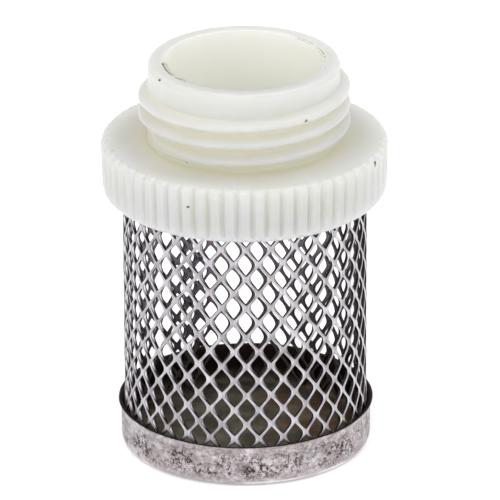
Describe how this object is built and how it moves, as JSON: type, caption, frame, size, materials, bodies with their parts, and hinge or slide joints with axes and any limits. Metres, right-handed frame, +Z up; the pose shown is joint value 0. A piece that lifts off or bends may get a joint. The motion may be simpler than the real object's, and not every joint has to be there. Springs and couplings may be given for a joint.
{
  "type": "foot valve strainer",
  "caption": "Suction strainer of a foot valve: a threaded moulded connector with a knurled flange on an expanded-metal basket closed by a stamped cap.",
  "frame": {"origin": "centre of the base cap's underside, on the axis", "axes": "+Z up the axis to the threaded end, with the sleeve's lap seam towards +Y"},
  "size_m": [0.0284, 0.0284, 0.0404],
  "materials": {
    "moulded_nylon": "satin, milky, slightly translucent",
    "expanded_steel": "dull, flattened strands with darker sheared edges",
    "weld_steel": "dark spot-weld marks",
    "stamped_steel": "mottled, water-stained"
  },
  "bodies": {
    "root": {"threaded_connector": "moulded_nylon", "screen_sleeve": "expanded_steel", "seam_welds": "weld_steel", "base_cap": "stamped_steel"}
  },
  "joints": []
}
